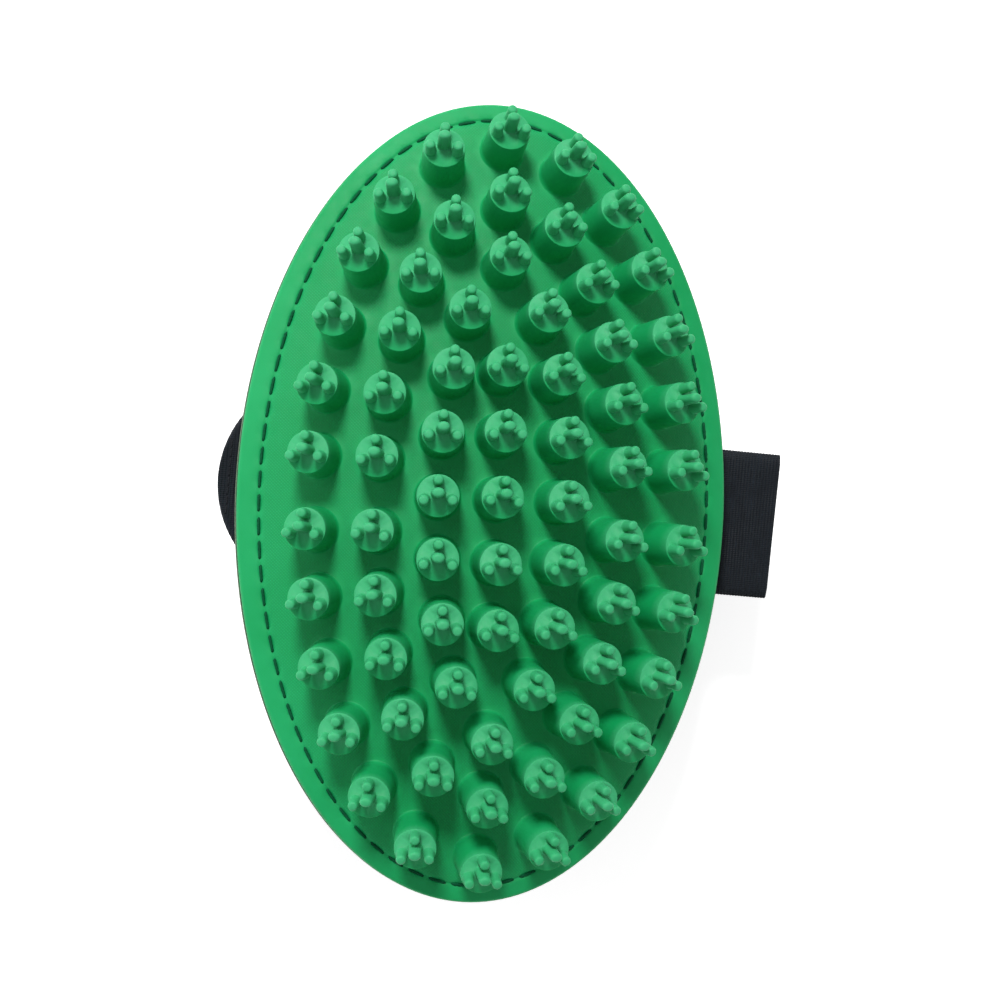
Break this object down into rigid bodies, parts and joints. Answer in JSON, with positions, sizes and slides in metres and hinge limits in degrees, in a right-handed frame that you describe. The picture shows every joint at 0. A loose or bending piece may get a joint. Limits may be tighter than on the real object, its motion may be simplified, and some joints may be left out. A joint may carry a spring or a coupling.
{
  "type": "curry comb",
  "caption": "Oval rubber massage curry comb: domed green face of round posts with small fingers, sewn to a foam-backed cover with an adjustable hook-and-loop hand strap.",
  "frame": {"origin": "middle of the flat crown of the hand strap, on its outer face, where the comb rests when it lies on its back", "axes": "+Z towards the side with the rubber posts, +Y along the long axis of the oval pad, +X along its short axis towards the strap's free tail"},
  "size_m": [0.1232, 0.1704, 0.0669],
  "materials": {
    "green_rubber": "satin",
    "foam": "matte",
    "cover_cloth": "matte",
    "seam_thread": "satin",
    "webbing": "matte",
    "loop_pile": "matte",
    "hook_plastic": "satin",
    "black_thread": "satin"
  },
  "bodies": {
    "pad": {"face_moulding": "green_rubber", "foam_core": "foam", "back_cover": "cover_cloth", "face_seam_thread": "seam_thread", "back_seam_thread": "seam_thread", "main_strap_sewn_end": "webbing", "keeper_strap_sewn_end": "webbing", "main_box_stitch": "black_thread", "keeper_box_stitch": "black_thread"},
    "main_strap_arm": {"main_strap": "webbing", "loop_tape": "loop_pile", "loop_tape_stitch": "black_thread"},
    "keeper_strap_arm": {"keeper_strap": "webbing", "hook_tape": "hook_plastic", "hook_tape_stitch": "black_thread"}
  },
  "joints": [
    {"name": "main_strap_swing", "type": "hinge", "parent": "pad", "child": "main_strap_arm", "pos_m": [-0.04173, 0.00247, 0.0322], "axis": [0.0471, 0.9989, 0], "range_deg": [0, 115]},
    {"name": "keeper_strap_swing", "type": "hinge", "parent": "pad", "child": "keeper_strap_arm", "pos_m": [0.04178, -0.00147, 0.0322], "axis": [0.0471, 0.9989, 0], "range_deg": [0, 18]}
  ]
}
